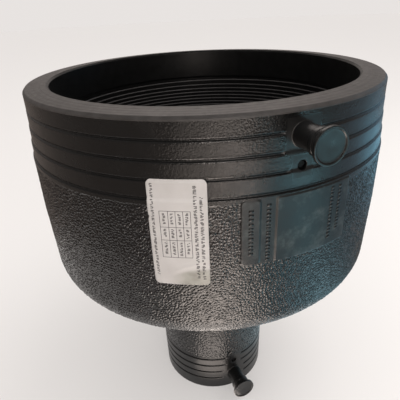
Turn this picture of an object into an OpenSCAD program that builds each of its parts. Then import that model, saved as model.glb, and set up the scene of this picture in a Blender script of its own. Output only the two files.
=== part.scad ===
// Electrofusion reducer: a one-piece moulded polyethylene socket fitting that joins
// a 200 mm pipe to a 63 mm pipe. The origin is the centre of the small mouth's face,
// +Z runs up the common axis to the large mouth, and both terminals point along -Y.

/* [Sockets] */
// Bore of the large socket
large_bore_d = 201; // [200:0.5:202]
// How far the large pipe goes in
large_depth = 112; // [108:1:116]
// Bore of the small socket
small_bore_d = 63.5; // [63:0.25:64.5]
// How far the small pipe goes in
small_depth = 66; // [62:1:68]
// Bore of the throat behind the small socket
throat_d = 52; // [46:1:54]
// Distance between the two mouth faces
total_h = 265; // [262:1:270]

/* [Shell] */
// Outer diameter at the large mouth
rim_d = 231.6; // [230:0.2:234]
// Outer diameter at the widest point
belly_d = 236.6; // [235:0.2:238]
// Outer diameter where the shoulder starts
shoulder_d = 234; // [233:0.2:235]
// Height of the start of the shoulder
shoulder_z = 150; // [148:1:152]
// Radius of the shoulder
shoulder_r = 20; // [16:1:24]
// Slope of the reducing cone above the horizontal, in degrees
cone_slope = 38; // [34:1:42]
// Thickness of the cone's wall, square to its surface
cone_wall = 14; // [11:1:16]
// Outer diameter of the neck
neck_d = 89.2; // [87:0.2:91]
// Outer diameter at the small mouth
small_end_d = 87.8; // [86:0.2:90]
// Radius of the fillet between neck and cone
neck_fillet = 16; // [10:1:20]

/* [Grip rings] */
// Rings moulded around the large end
large_rings = 4; // [2:1:4]
// Height of the lowest ring at the large end
large_ring_z = 225; // [222:1:228]
// Pitch of the rings at the large end
large_ring_pitch = 9.45; // [8:0.05:9.5]
// Rings moulded around the small end
small_rings = 4; // [2:1:4]
// Height of the lowest ring at the small end
small_ring_z = 11.8; // [11:0.1:13]
// Pitch of the rings at the small end
small_ring_pitch = 7.6; // [7:0.1:8]
// Depth of each ring's groove
ring_depth = 0.6; // [0.3:0.1:0.9]

/* [Heating wire] */
// Turns in the large coil
large_turns = 20; // [12:1:20]
// Turns in the small coil
small_turns = 9; // [6:1:9]
// Pitch of the close turns
coil_pitch = 2.9; // [2.6:0.1:3]
// Thickness of the covered wire
wire_d = 1.2; // [0.8:0.1:1.4]
// How much wider the fusion zone is than the bore, on the radius
zone_relief = 0.7; // [0.5:0.1:0.8]

/* [Terminals] */
// Height of the large end's terminal
large_terminal_z = 251.2; // [250:0.1:252]
// Height of the small end's terminal
small_terminal_z = 15; // [14:0.1:16]
// Outer diameter of the shroud around a terminal
shroud_d = 12.4; // [11.6:0.2:13]
// Bore of the shroud
shroud_bore_d = 9.2; // [8.6:0.2:9.6]
// How far the shroud stands out of the wall
shroud_h = 15.5; // [14:0.5:17]
// Diameter of the contact pin
pin_d = 4; // [3.9:0.1:4.7]
// Outer diameter of the dust cap's flange
cap_d = 17.8; // [16.4:0.2:19]
// How far the capped terminal stands out of the wall
capped_h = 19.2; // [18.8:0.1:21]

/* [Fusion indicators] */
// Distance of an indicator from its terminal's axis
indicator_offset = 14.8; // [14:0.1:16]
// Diameter of the indicator pin
indicator_d = 4.4; // [3.6:0.2:4.8]
// How far a fresh indicator sits below the surface
indicator_recess = 1.2; // [0.6:0.1:2]

/* [Markings] */
// Azimuth of the sticker's middle, clockwise from the terminals, seen from above
label_azimuth = 29.9; // [24:0.1:40]
// Width of the sticker along the wall
label_w = 29; // [24:1:32]
// Height of the sticker
label_h = 59.5; // [50:0.5:62]
// Height of the sticker's lower edge
label_z = 175.7; // [174:0.1:178]
// How far the data plate stands proud of the wall
plate_lift = 0.5; // [0.3:0.1:0.6]

/* [Hidden] */
$fn = 96;

pe_black = [0.10, 0.10, 0.10];
cap_black = [0.16, 0.19, 0.20];
brass = [0.76, 0.62, 0.30];
wire_grey = [0.30, 0.27, 0.24];
paper_white = [0.93, 0.92, 0.90];

large_bore_r = large_bore_d / 2;
small_bore_r = small_bore_d / 2;
throat_r = throat_d / 2;
rim_r = rim_d / 2;
belly_r = belly_d / 2;
neck_r = neck_d / 2;
small_end_r = small_end_d / 2;
stop_w = 10.5;          // width of the ledge that the large pipe stops on
mouth_chamfer = 1.2;    // inner chamfer of both mouths
rim_round = 1.6;        // rounding of the outer edge of the large rim
belly_z = 190;          // height of the widest point
band_top_r = belly_r - 0.2;

// Both coils start this far below or above their terminal's axis.
coil_start_gap = 10.3;
// The first turns are spread by this much in all, and close up over this many turns.
spread = 3.2;
spread_turns = 1.5;
large_coil_z = large_terminal_z - coil_start_gap;
small_coil_z = small_terminal_z + coil_start_gap;
zone_margin = 1.6;
// The wire's middle sits far enough out that its chords stay clear of the bore.
large_wire_r = large_bore_r + 1.0;
small_wire_r = small_bore_r + 0.85;
wire_sides = 4;
large_coil_steps = 54;
small_coil_steps = 30;

large_wall_r = 116;     // where the large terminal meets the wall
small_wall_r = 44;      // where the small terminal meets the wall
shroud_floor = 2;       // height of the shroud's floor above the wall
pin_tip_gap = 2;        // how far the pin's tip sits inside the shroud
pin_root = 9;           // depth of the pin's anchored end in the wall
root_fillet = 1.2;
cap_gap = 0.1;          // radial clearance of the cap on the shroud

// Smooth data plate under the large terminal: a narrow tab and a wide field
plate_z0 = 185.6;
plate_z1 = 223.6;
tab_azimuth = 12.9;
tab_w = 10.8;
field_azimuth = -4.7;
field_w = 47.5;

function arc(cx, cy, r, a0, a1, n) =
    [for (i = [0 : n]) let (a = a0 + (a1 - a0) * i / n) [cx + r * cos(a), cy + r * sin(a)]];

// Depth along the socket reached after t turns of a coil
function coil_run(t) = coil_pitch * t + spread * (1 - exp(-t / spread_turns));

// Wall radius of the band that lies above the k-th ring, counted from the lowest
function band_r(k) = rim_r + (band_top_r - rim_r) * pow((large_rings - k) / large_rings, 1.6);

// Straight cone: its upper end on the shoulder, and where it would meet the neck
cone_top = arc(shoulder_d / 2 - shoulder_r, shoulder_z, shoulder_r, cone_slope - 90, 0, 1)[0];
cone_foot_z = cone_top.y - (cone_top.x - neck_r) * tan(cone_slope);
neck_z = cone_foot_z - neck_fillet * tan((90 - cone_slope) / 2);

// The chamber's cone runs at the same slope, one wall thickness inside.
chamber_top_r = large_bore_r - stop_w;
chamber_shift = cone_wall / cos(cone_slope);
function chamber_z(r) = cone_top.y + chamber_shift - (cone_top.x - r) * tan(cone_slope);
stop_z = total_h - large_depth;

function small_ring(k) = let (z = small_ring_z + k * small_ring_pitch, r = small_end_r + 0.2)
    [[r, z - 0.7], [r - ring_depth, z], [r, z + 0.7]];

function large_ring(k) = let (z = large_ring_z + k * large_ring_pitch)
    [[band_r(k), z - 1.1], [band_r(k + 1) - ring_depth, z], [band_r(k + 1), z + 0.6]];

function outer_line() = concat(
    arc(small_end_r - 1, 1, 1, -90, 0, 4),
    [for (k = [0 : small_rings - 1]) each small_ring(k)],
    [[neck_r, neck_z - 24]],
    arc(neck_r + neck_fillet, neck_z, neck_fillet, 180, 90 + cone_slope, 6),
    arc(shoulder_d / 2 - shoulder_r, shoulder_z, shoulder_r, cone_slope - 90, 0, 10),
    [[belly_r, belly_z]],
    [for (k = [0 : large_rings - 1]) each large_ring(k)],
    arc(rim_r - rim_round, total_h - rim_round, rim_round, 0, 90, 5)
);

function inner_line() = [
    [large_bore_r + mouth_chamfer, total_h],
    [large_bore_r, total_h - mouth_chamfer],
    [large_bore_r, large_coil_z + zone_margin],
    [large_bore_r + zone_relief, large_coil_z + zone_margin - zone_relief],
    [large_bore_r + zone_relief, large_coil_z - coil_run(large_turns) - zone_margin],
    [large_bore_r, large_coil_z - coil_run(large_turns) - zone_margin - zone_relief],
    [large_bore_r, stop_z],
    [chamber_top_r, stop_z],
    [chamber_top_r, chamber_z(chamber_top_r)],
    [throat_r, chamber_z(throat_r)],
    [throat_r, small_depth],
    [small_bore_r, small_depth],
    [small_bore_r, small_coil_z + coil_run(small_turns) + zone_margin + zone_relief],
    [small_bore_r + zone_relief, small_coil_z + coil_run(small_turns) + zone_margin],
    [small_bore_r + zone_relief, small_coil_z - zone_margin + zone_relief],
    [small_bore_r, small_coil_z - zone_margin],
    [small_bore_r, mouth_chamfer],
    [small_bore_r + mouth_chamfer, 0]
];

// Turns +Z onto the terminals' direction, at height z
module radially(z) translate([0, 0, z]) rotate([90, 0, 0]) children();

// A patch of the wall: an upright rectangle with round corners, seen along its azimuth
module wall_patch(azimuth, w, z0, z1, corner)
    rotate([0, 0, -azimuth]) translate([0, 0, (z0 + z1) / 2]) rotate([90, 0, 0])
        linear_extrude(height = belly_r + 10) {
            square([w - 2 * corner, z1 - z0], center = true);
            square([w, z1 - z0 - 2 * corner], center = true);
            for (x = [-1, 1], y = [-1, 1])
                translate([x * (w / 2 - corner), y * ((z1 - z0) / 2 - corner)]) circle(r = corner);
        }

// The wall's surface between two heights, moved out by lift and this thick
module wall_skin(z0, z1, lift, thick)
    rotate_extrude() polygon(concat(
        [[belly_r + lift - 2, z0], [belly_r + lift + thick - 0.02, z0]],
        [[belly_r + lift + thick, belly_z], [band_top_r + lift + thick, z1]],
        [[belly_r + lift - 2, z1]]
    ));

module shroud(wall_r) {
    out = wall_r + shroud_h;
    cylinder(d = shroud_d, h = out - 0.5);
    cylinder(d = shroud_d - 1, h = out);
    rotate_extrude() polygon(concat(
        [[0, wall_r - 6], [shroud_d / 2 + root_fillet, wall_r - 6]],
        arc(shroud_d / 2 + root_fillet, wall_r + root_fillet, root_fillet, 270, 180, 5),
        [[0, wall_r + root_fillet]]
    ));
}

module terminal_pin(wall_r) {
    tip = wall_r + shroud_h - pin_tip_gap;
    color(brass) rotate_extrude() polygon([
        [0, wall_r - pin_root], [1.9, wall_r - pin_root], [2.4, wall_r - pin_root + 0.5],
        [2.4, wall_r - pin_root + 3], [3.3, wall_r - pin_root + 3], [3.3, wall_r - pin_root + 4.5],
        [2.4, wall_r - pin_root + 4.5], [2.4, wall_r - 1], [3.0, wall_r - 1],
        [3.0, wall_r + shroud_floor], [pin_d / 2, wall_r + shroud_floor],
        [pin_d / 2, tip - 0.6], [pin_d / 2 - 0.6, tip], [0, tip]
    ]);
}

module terminal_cap(wall_r) {
    face = wall_r + capped_h;
    flange = face - 1.9;
    skirt_r = shroud_d / 2 + cap_gap;
    mouth = wall_r + shroud_h - 4.5;
    roof = wall_r + shroud_h + 0.3;
    color(cap_black) rotate_extrude() polygon([
        [0, roof], [skirt_r, roof], [skirt_r, mouth], [skirt_r + 0.7, mouth],
        [skirt_r + 0.7, flange], [cap_d / 2 - 0.4, flange], [cap_d / 2, flange + 0.4],
        [cap_d / 2, face - 0.5], [cap_d / 2 - 0.5, face], [cap_d / 2 - 1.1, face],
        [cap_d / 2 - 1.4, face - 0.9], [0, face - 0.9]
    ]);
}

module fusion_indicator(wall_r) {
    head = wall_r - indicator_recess;
    color(pe_black) rotate_extrude() polygon([
        [0, head - 7], [indicator_d / 2 - 0.3, head - 7], [indicator_d / 2, head - 6.7],
        [indicator_d / 2, head - 0.4], [indicator_d / 2 - 0.4, head], [0, head]
    ]);
}

module indicator_hole(wall_r) {
    translate([0, 0, wall_r - indicator_recess - 7.2]) cylinder(d = indicator_d + 0.15, h = 20);
    translate([0, 0, wall_r - 0.5]) cylinder(d1 = indicator_d + 0.15, d2 = indicator_d + 3.15, h = 1.5);
}

module body() color(pe_black) {
    difference() {
        union() {
            rotate_extrude($fn = 180) polygon(concat(outer_line(), inner_line()));
            radially(large_terminal_z) intersection() {
                shroud(large_wall_r);
                translate([0, 0, large_bore_r + 6]) cylinder(r = 20, h = 40);
            }
            radially(small_terminal_z) intersection() {
                shroud(small_wall_r);
                translate([0, 0, small_bore_r + 6]) cylinder(r = 20, h = 40);
            }
            intersection() {
                wall_skin(plate_z0, plate_z1, plate_lift, 0);
                union() {
                    wall_patch(tab_azimuth, tab_w, plate_z0, plate_z1, 2.5);
                    wall_patch(field_azimuth, field_w, plate_z0, plate_z1, 1.5);
                }
            }
        }
        radially(large_terminal_z) translate([0, 0, large_wall_r + shroud_floor])
            cylinder(d = shroud_bore_d, h = 30);
        radially(small_terminal_z) translate([0, 0, small_wall_r + shroud_floor])
            cylinder(d = shroud_bore_d, h = 30);
        radially(large_terminal_z) terminal_pin(large_wall_r);
        radially(small_terminal_z) terminal_pin(small_wall_r);
        radially(large_terminal_z - indicator_offset) indicator_hole(large_wall_r + 0.5);
        radially(small_terminal_z + indicator_offset) indicator_hole(small_wall_r);
    }
}

// A helical wire: turns of it, around a wire circle, from z0 along dir (1 up, -1 down)
module coil(radius, z0, dir, turns, steps) {
    n = turns * steps;
    ring = [for (k = [0 : wire_sides - 1]) 360 * k / wire_sides];
    points = [for (i = [0 : n], a = ring)
        let (t = i / steps, r = radius + wire_d / 2 * cos(a),
             z = z0 + dir * coil_run(t) + wire_d / 2 * sin(a))
        [r * sin(360 * t), -r * cos(360 * t), z]];
    sides = [for (i = [0 : n - 1], k = [0 : wire_sides - 1])
        let (a = i * wire_sides + k, b = i * wire_sides + (k + 1) % wire_sides)
        [a, b, b + wire_sides, a + wire_sides]];
    ends = [[for (k = [wire_sides - 1 : -1 : 0]) k], [for (k = [0 : wire_sides - 1]) n * wire_sides + k]];
    color(wire_grey) polyhedron(points = points, faces = concat(sides, ends), convexity = 10);
}

// A wire swept along points [r, z] in the upright plane of the terminals
module plane_wire(route) {
    n = len(route) - 1;
    sides = 6;
    points = [for (i = [0 : n], k = [0 : sides - 1])
        let (d = route[min(i + 1, n)] - route[max(i - 1, 0)], u = d / norm(d),
             a = 360 * k / sides, w = wire_d / 2 * cos(a))
        [wire_d / 2 * sin(a), -(route[i].x - w * u.y), route[i].y + w * u.x]];
    skin = [for (i = [0 : n - 1], k = [0 : sides - 1])
        let (a = i * sides + k, b = i * sides + (k + 1) % sides)
        [a, b, b + sides, a + sides]];
    ends = [[for (k = [sides - 1 : -1 : 0]) k], [for (k = [0 : sides - 1]) n * sides + k]];
    color(wire_grey) polyhedron(points = points, faces = concat(skin, ends), convexity = 4);
}

module large_coil() coil(large_wire_r, large_coil_z, -1, large_turns, large_coil_steps);

module small_coil() coil(small_wire_r, small_coil_z, 1, small_turns, small_coil_steps);

module large_lead_wire() plane_wire([
    [large_wall_r - pin_root, large_terminal_z], [large_wall_r - pin_root - 2, large_terminal_z - 1],
    [large_wire_r + 1.8, large_terminal_z - 4], [large_wire_r + 0.6, large_terminal_z - 7],
    [large_wire_r, large_coil_z + wire_d]
]);

module small_lead_wire() plane_wire([
    [small_wall_r - pin_root, small_terminal_z], [small_wall_r - pin_root - 0.8, small_terminal_z + 1.5],
    [small_wire_r + 0.8, small_terminal_z + 5], [small_wire_r, small_coil_z - wire_d]
]);

module link_wire() plane_wire([
    [large_wire_r, large_coil_z - coil_run(large_turns) - wire_d], [large_wire_r + 2, 172], [104, 160],
    [101, 147], [93, 135], [80, 123], [60, 106], [46, 93], [38, 82], [36, 72],
    [35, 64], [small_wire_r + 0.6, 58.5], [small_wire_r, small_coil_z + coil_run(small_turns) + wire_d]
]);

module large_terminal_pin() radially(large_terminal_z) terminal_pin(large_wall_r);

module small_terminal_pin() radially(small_terminal_z) terminal_pin(small_wall_r);

module large_terminal_cap() radially(large_terminal_z) terminal_cap(large_wall_r);

module small_terminal_cap() radially(small_terminal_z) terminal_cap(small_wall_r);

module large_fusion_indicator()
    radially(large_terminal_z - indicator_offset) fusion_indicator(large_wall_r + 0.5);

module small_fusion_indicator()
    radially(small_terminal_z + indicator_offset) fusion_indicator(small_wall_r);

module label() color(paper_white) intersection() {
    difference() {
        wall_skin(label_z - 5, label_z + label_h + 5, 0.05, 0.25);
        wall_skin(label_z - 6, label_z + label_h + 6, 0.05, 0);
    }
    wall_patch(label_azimuth, label_w, label_z, label_z + label_h, 2.5);
}

body();
large_coil();
small_coil();
link_wire();
large_lead_wire();
small_lead_wire();
large_terminal_pin();
small_terminal_pin();
large_terminal_cap();
small_terminal_cap();
large_fusion_indicator();
small_fusion_indicator();
label();
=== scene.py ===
import math

import bpy
import numpy as np
from mathutils import Matrix, Vector


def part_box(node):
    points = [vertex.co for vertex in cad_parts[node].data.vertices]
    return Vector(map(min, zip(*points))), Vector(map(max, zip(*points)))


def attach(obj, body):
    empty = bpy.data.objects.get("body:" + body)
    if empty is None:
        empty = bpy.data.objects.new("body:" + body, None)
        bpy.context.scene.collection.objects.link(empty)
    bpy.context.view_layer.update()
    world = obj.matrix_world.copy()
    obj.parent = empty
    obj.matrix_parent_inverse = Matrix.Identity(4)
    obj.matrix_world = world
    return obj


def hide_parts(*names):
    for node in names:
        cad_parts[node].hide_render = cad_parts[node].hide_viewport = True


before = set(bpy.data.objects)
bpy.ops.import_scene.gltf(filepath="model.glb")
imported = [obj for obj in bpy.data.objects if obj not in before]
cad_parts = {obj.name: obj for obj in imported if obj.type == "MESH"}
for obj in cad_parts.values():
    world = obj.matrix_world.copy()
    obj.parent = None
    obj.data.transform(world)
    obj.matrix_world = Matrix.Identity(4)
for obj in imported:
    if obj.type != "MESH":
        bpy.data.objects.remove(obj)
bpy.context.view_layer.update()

MM = 0.001

# ---------------------------------------------------------------- sizes, in millimetres

body_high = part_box("body")[1] / MM
TOTAL_H = body_high.z
BELLY_R = body_high.x
BELLY_Z = 190.0
RIM_R = 115.8
RIM_BEVEL = 2.4
RIM_BEVEL_W = 1.2
RIM_FALL = 1.0
BORE_R = 100.5
MOUTH_CHAMFER = 1.2
SHOULDER_R = 20.0
SHOULDER_Z = 150.0
SHOULDER_OUT = 117.0
CONE_SLOPE = math.radians(38)
NECK_R = 44.6
NECK_FILLET = 16.0
SMALL_END_R = 43.9
SMALL_BORE_R = 31.75
SMALL_DEPTH = 66.0
THROAT_R = 26.0
STOP_Z = TOTAL_H - 112.0
STOP_W = 10.5
CONE_WALL = 14.0
ZONE_RELIEF = 0.7
LATHE_MARKS, LATHE_DEPTH = 64, 0.035

# rings cut around both ends
LARGE_RINGS = [225.0 + 9.45 * k for k in range(4)]
SMALL_RINGS = [11.8 + 7.6 * k for k in range(4)]
LARGE_GROOVE = {"depth": 0.6, "width": 0.55}
SMALL_GROOVE = {"depth": 1.1, "width": 0.55}
BAND_TOP_R = BELLY_R - 0.2
BAND_CURVE, BAND_LEAN = 1.6, 0.04

# squares around each fitting: half the hole cut in the wall's grid, and half the ring-free patch
WINDOW_OF_SHROUD, WINDOW_OF_HOLE = 8.4, 5.3
CLEAR_OF_SHROUD, CLEAR_OF_HOLE = 8.5, 5.5

# heating coils
WIRE_D = 1.2
COIL_PITCH = 2.9
COIL_SPREAD = 3.2
SPREAD_TURNS = 1.5
LARGE_TURNS, SMALL_TURNS = 20, 9
LARGE_COIL_Z, SMALL_COIL_Z = 240.9, 25.3
ZONE_MARGIN = 1.6

# terminals
SHROUD_R, SHROUD_BORE_R, SHROUD_H = 6.2, 4.6, 15.5
SHROUD_FLOOR = 2.0
SHROUD_FILLET = 0.5
LIP_ROUND, EDGE_ROUND = 0.5, 0.3
COLLAR_R, COLLAR_GAP = 3.0, 0.02
CAP_FACE, CAP_FLANGE = 19.2, 1.9
CAP_GAP, CAP_WALL = 0.1, 0.7
CAP_SKIRT = 4.5
INDICATOR_HOLE_R, INDICATOR_MOUTH_R = 2.275, 2.5

# markings
LABEL_AZ = math.radians(-29.9)
LABEL_W = 29.0
LABEL_CORNER = 2.5
PLATE_LIFT = 0.5
PLATE_Z0, PLATE_Z1 = 185.6, 223.6
TAB_AZ, TAB_W = math.radians(-12.9), 10.8
FIELD_AZ, FIELD_W = math.radians(4.7), 47.5

# printing on the label, from its middle: columns as (place, width, top, bottom), and a table
PRINT_COLUMNS = [(-12.2, 1.5, 28.0, -24.0), (8.6, 1.7, 27.0, -26.0), (11.6, 1.7, 21.0, -26.0)]
TABLE_COLUMNS = [-8.9, -4.7, -1.1, 2.6, 6.2]
TABLE_ROWS = [13.9, 5.1, -2.3, -12.4]

# moulded grain: its depth as a share of its pitch, its pitches, and where it ends
GRAIN_DEPTH = 0.19
GRAIN_PITCH, NECK_PITCH = 1.75, 2.5
GRAIN_TOP = 221.0

# how finely the body is cut: points once round each stretch, and the step along grained ones
COLUMNS_GRAIN, COLUMNS_CONE, COLUMNS_WALL = 1512, 1008, 616
COLUMNS_BORE, COLUMNS_SMALL_BORE = 288, 144
GRAIN_STEP = 0.5

# camera: where it stands around the body, in millimetres and radians, and its lens
CAMERA_TURN = math.radians(-22.8)
CAMERA_BACK, CAMERA_ABOVE_RIM = 280.709, 44.017
CAMERA_PITCH, CAMERA_YAW, CAMERA_ROLL = 0.475, -0.022, -0.048
LENS = 35.636


def terminal(cap, indicator, wall_r, indicator_wall_r):
    """Heights of a terminal and its indicator, from their CAD pieces, and the wall's radii there."""
    low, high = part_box(cap)
    hole_low, hole_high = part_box(indicator)
    return {
        "z": (low.z + high.z) / 2 / MM,
        "wall_r": wall_r,
        "hole_z": (hole_low.z + hole_high.z) / 2 / MM,
        "hole_wall_r": indicator_wall_r,
    }


LARGE = terminal("large_terminal_cap", "large_fusion_indicator", 116.0, 116.5)
SMALL = terminal("small_terminal_cap", "small_fusion_indicator", 44.0, 44.0)

label_low, label_high = (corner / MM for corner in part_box("label"))
LABEL_Z0, LABEL_Z1 = label_low.z, label_high.z
cap_low, cap_high = (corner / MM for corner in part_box("large_terminal_cap"))
CAP_R = (cap_high.x - cap_low.x) / 2

# ---------------------------------------------------------------- small helpers


def add_object(name, data):
    """An object of some data, put into the scene."""
    made = bpy.data.objects.new(name, data)
    bpy.context.scene.collection.objects.link(made)
    return made


def smooth(low, high, value):
    """0 below low, 1 above high, and an even curve between."""
    t = np.clip((value - low) / (high - low), 0, 1)
    return t * t * (3 - 2 * t)


def once_round(count):
    """Even angles once round, from 0."""
    return 2 * math.pi * np.arange(count) / count


def arc(centre_r, centre_z, radius, start, end, steps):
    """Points of an arc, in degrees, its last point included."""
    angles = np.radians(np.linspace(start, end, steps + 1))
    return [(centre_r + radius * math.cos(a), centre_z + radius * math.sin(a)) for a in angles]


def line(start, end, step):
    """Points along a straight stretch, without its two ends."""
    length = math.dist(start, end)
    count = max(1, round(length / step))
    return [
        (start[0] + (end[0] - start[0]) * i / count, start[1] + (end[1] - start[1]) * i / count)
        for i in range(1, count)
    ]


def heights(low, high, coarse, fine, centres, reach):
    """Rising heights from low to high, close together near the centres."""
    found = [low]
    while found[-1] < high:
        near = any(abs(found[-1] + fine - centre) < reach for centre in centres)
        found.append(found[-1] + (fine if near else coarse))
    return found[:-1]


class Pebbles:
    """Moulded leather grain: round pebbles, about one pitch apart, in uneven rows round the wall."""

    def __init__(self, run, radius, pitch, seed):
        rng = np.random.default_rng(seed)
        rows = math.ceil(run[-1] / pitch) + 4
        self.pitch = pitch
        round_length = 2 * math.pi * np.interp(np.arange(rows) * pitch, run, radius)
        self.counts = np.rint(round_length / pitch).astype(int)
        self.jitter = rng.uniform(-0.5, 0.5, (rows, self.counts.max(), 2))
        self.phase = rng.uniform(0, 1, rows)

    def depth(self, az, run, radius):
        """How far the surface lies below the pebbles' tops."""
        turn = az / (2 * math.pi)
        nearest = np.full(np.broadcast(az, run).shape, np.inf)
        second = nearest.copy()
        for step in range(-2, 3):
            row = np.clip(np.rint(run / self.pitch).astype(int) + step, 0, len(self.counts) - 1)
            count, phase = self.counts[row], self.phase[row]
            place = np.floor(turn % 1 * count - phase).astype(int)
            for shift in (-1, 0, 1):
                column = (place + shift) % count
                jitter = self.jitter[row, column]
                along = run - (row + jitter[..., 0]) * self.pitch
                around = turn - (column + 0.5 + phase + jitter[..., 1]) / count
                around = 2 * math.pi * radius * (around - np.rint(around))
                away = np.hypot(along, around)
                second = np.where(away < nearest, nearest, np.minimum(second, away))
                nearest = np.minimum(nearest, away)
        return GRAIN_DEPTH * self.pitch * (1 - smooth(0, 0.85 * self.pitch, second - nearest))


class Skin:
    """Points, in millimetres, and faces, gathered loop by loop."""

    def __init__(self):
        self.points = []
        self.grains = []
        self.slopes = []
        self.faces = []
        self.kinds = []
        self.count = 0
        self.kind = 0

    def loop(self, x, y, z, grained=0.0, normals=None):
        """Adds points and returns their numbers.

        grained is how rough the mould was there, and normals are known ones, if any.
        """
        x, y, z, grained = np.broadcast_arrays(x, y, z, grained)
        self.grains.append(grained.ravel())
        self.slopes.append(np.full((x.size, 3), np.nan) if normals is None else normals.reshape(-1, 3))
        self.points.append(np.stack([x.ravel(), y.ravel(), z.ravel()], -1))
        numbers = np.arange(self.count, self.count + x.size).reshape(x.shape)
        self.count += x.size
        return numbers

    def add(self, faces):
        """Adds faces, an array with one row of point numbers each."""
        self.faces.append(faces)
        self.kinds.append(np.full(len(faces), self.kind))

    def join(self, low, high):
        """Quads between two closed loops of one length, or triangles if their lengths differ."""
        n, m = len(low), len(high)
        if n == m:
            self.add(np.stack([low, np.roll(low, -1), np.roll(high, -1), high], -1))
            return
        above = np.floor((np.arange(n) + 0.5) * m / n + 0.5).astype(int)
        below = np.searchsorted(above, np.arange(m), side="right") % n
        self.add(np.stack([low, np.roll(low, -1), high[above % m]], -1))
        self.add(np.stack([np.roll(high, -1), high, low[below]], -1))

    def fan(self, loop):
        """Closes a loop on its middle."""
        points = np.concatenate(self.points)[loop]
        middle = self.loop(*points.mean(0))
        self.add(np.stack([loop, np.roll(loop, -1), np.full(len(loop), middle.item())], -1))

    def strip(self, grid):
        """Quads between neighbouring rows and columns of a grid of point numbers."""
        a, b, c, d = grid[:-1, :-1], grid[:-1, 1:], grid[1:, 1:], grid[1:, :-1]
        self.add(np.stack([a, b, c, d], -1).reshape(-1, 4))

    def slab(self, front, back):
        """Faces of a thin piece between two grids of point numbers, its edges included."""
        self.strip(front)
        self.strip(back[:, ::-1])
        self.join(*(
            np.concatenate([grid[0, :-1], grid[:-1, -1], grid[-1, :0:-1], grid[:0:-1, 0]])
            for grid in (back, front)
        ))

    def piece(self, name, body, materials):
        """Makes the mesh piece, without the points that no face uses."""
        points = np.concatenate(self.points)
        used = np.zeros(len(points), bool)
        for faces in self.faces:
            used[faces] = True
        renumber = np.cumsum(used) - 1
        faces = [face for group in self.faces for face in renumber[group].tolist()]
        mesh = bpy.data.meshes.new(name)
        mesh.from_pydata((points[used] * MM).tolist(), [], faces)
        for material in materials:
            mesh.materials.append(material)
        mesh.polygons.foreach_set("material_index", np.concatenate(self.kinds))
        mesh.polygons.foreach_set("use_smooth", np.ones(len(faces), bool))
        mesh.update()
        grained = mesh.attributes.new("grain", "FLOAT", "POINT")
        grained.data.foreach_set("value", np.concatenate(self.grains)[used])
        known = np.concatenate(self.slopes)[used]
        if not np.isnan(known).all():
            plain = np.empty(len(known) * 3, np.float32)
            mesh.vertex_normals.foreach_get("vector", plain)
            normals = np.where(np.isnan(known), plain.reshape(-1, 3), known)
            mesh.normals_split_custom_set_from_vertices(normals.tolist())
        made = add_object(name, mesh)
        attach(made, body)
        return made


# ---------------------------------------------------------------- the body's outer wall


def band_radius(z):
    """Radius of the wall between the large end's rings, which steps in at each ring."""
    pitch = LARGE_RINGS[1] - LARGE_RINGS[0]
    last = len(LARGE_RINGS)
    steps = sum(smooth(ring - 0.9, ring + 0.9, z) for ring in LARGE_RINGS)
    stepped = RIM_R + (BAND_TOP_R - RIM_R) * ((last - steps) / last) ** BAND_CURVE
    lean = (z - LARGE_RINGS[0]) / pitch - steps + 0.5
    return stepped - BAND_LEAN * lean * smooth(LARGE_RINGS[0], LARGE_RINGS[0] + 2, z)


def large_wall(z):
    """Radius of the large end's wall, from the shoulder to the rim."""
    below = np.interp(z, [SHOULDER_Z, BELLY_Z, LARGE_RINGS[0]], [SHOULDER_OUT, BELLY_R, BAND_TOP_R])
    return np.where(z < LARGE_RINGS[0] - 1, below, band_radius(z))


def small_wall(z):
    """Radius of the small end's wall."""
    return np.interp(z, [1.0, 52.0], [SMALL_END_R, NECK_R])


def groove(z, ring, depth, width):
    """A soft cut with a faint lip above it."""
    t = z - ring
    return -depth * np.exp(-((t / width) ** 2)) + 0.1 * depth * np.exp(-(((t - 2 * width) / width) ** 2))


def ring_cuts(az, r, z, rings, place, size):
    """The grooves of one end's rings, which stop short of its terminal and indicator hole."""
    x = np.where(np.cos(az) > 0, r * np.sin(az), r)
    keep = 1.0
    for centre_z, half in ((place["z"], CLEAR_OF_SHROUD), (place["hole_z"], CLEAR_OF_HOLE)):
        away = np.maximum(np.abs(x), np.abs(z - centre_z)) - half
        keep = keep * smooth(0.2, 3.5, away)
    return keep * sum(groove(z, ring, **size) for ring in rings)


def in_patch(arc_length, z, width, low, high, corner, edge):
    """1 inside an upright rectangle with round corners on the wall, 0 outside, over a soft edge."""
    dx = np.abs(arc_length) - (width / 2 - corner)
    dz = np.abs(z - (low + high) / 2) - ((high - low) / 2 - corner)
    outside = np.hypot(np.maximum(dx, 0), np.maximum(dz, 0)) + np.minimum(np.maximum(dx, dz), 0)
    return 1 - smooth(-edge, 0, outside - corner)


def plate_amount(az, z):
    """How far a point of the wall belongs to the raised data plate, from 0 to 1."""
    tab = in_patch(BELLY_R * (az - TAB_AZ), z, TAB_W, PLATE_Z0, PLATE_Z1, 2.5, 1.1)
    field = in_patch(BELLY_R * (az - FIELD_AZ), z, FIELD_W, PLATE_Z0, PLATE_Z1, 1.5, 1.1)
    return np.maximum(tab, field)


def plate_zone(az, z):
    """1 on the data plate and the smooth strip across it, 0 on the wall around it."""
    left = BELLY_R * TAB_AZ - TAB_W / 2
    right = BELLY_R * FIELD_AZ + FIELD_W / 2
    middle, width = (left + right) / 2, right - left
    return in_patch(BELLY_R * az - middle, z, width, PLATE_Z0, PLATE_Z1, 2.5, 1.1)


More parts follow.
